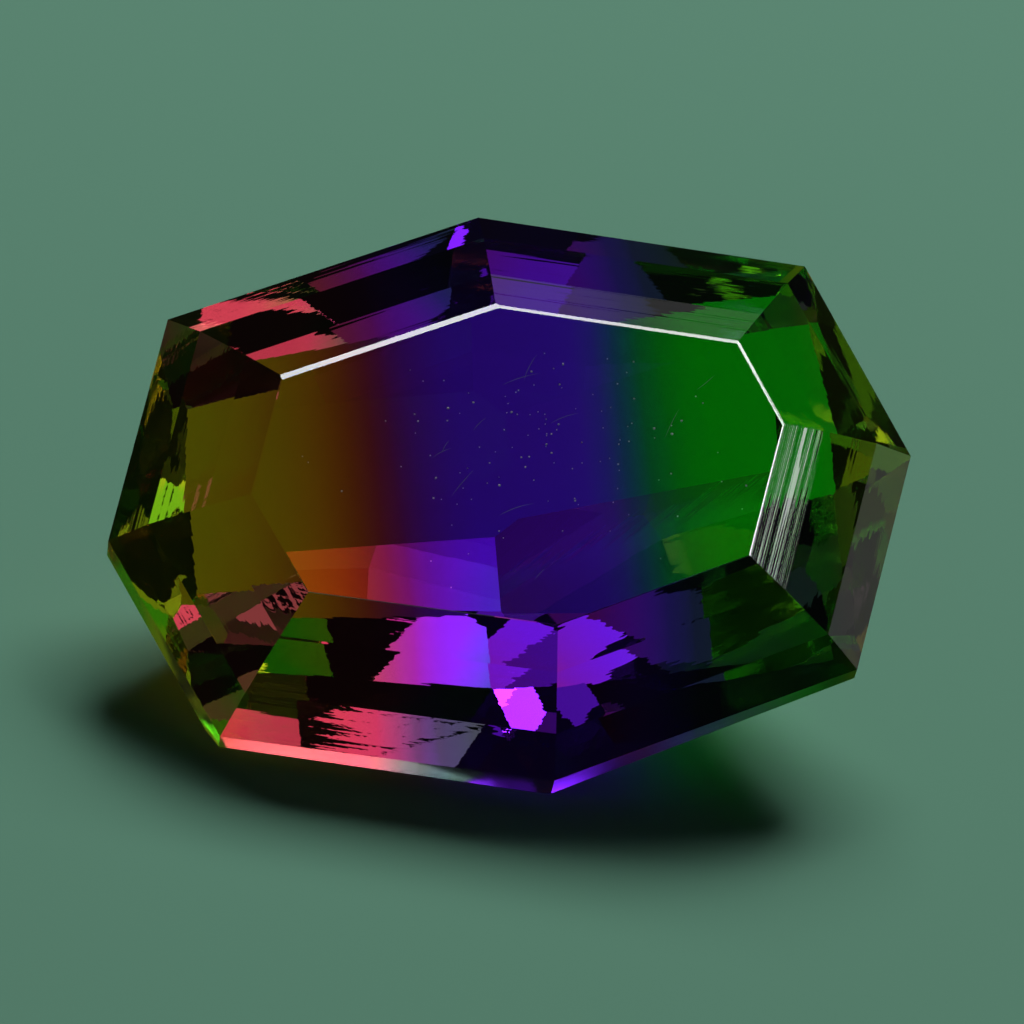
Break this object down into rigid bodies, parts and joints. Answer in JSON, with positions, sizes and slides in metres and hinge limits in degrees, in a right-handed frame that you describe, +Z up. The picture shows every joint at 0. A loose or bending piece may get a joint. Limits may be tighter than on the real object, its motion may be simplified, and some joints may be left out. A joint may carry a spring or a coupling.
{
  "type": "faceted gemstone",
  "caption": "Elongated octagonal step-cut tourmaline with olive, violet and green colour zones, lying on one pavilion facet with its table turned up and forward.",
  "frame": {"origin": "centre of the bounding box in plan, on the surface that the stone lies on", "axes": "+Z is up, +X runs along the stone's length towards its green end, and the table faces up and towards -Y"},
  "size_m": [0.0152, 0.0098, 0.0082],
  "materials": {
    "tourmaline": "polished facets, matt ground girdle, see-through with colour zones along the length"
  },
  "bodies": {
    "root": {"tourmaline_gemstone": "tourmaline"}
  },
  "joints": []
}
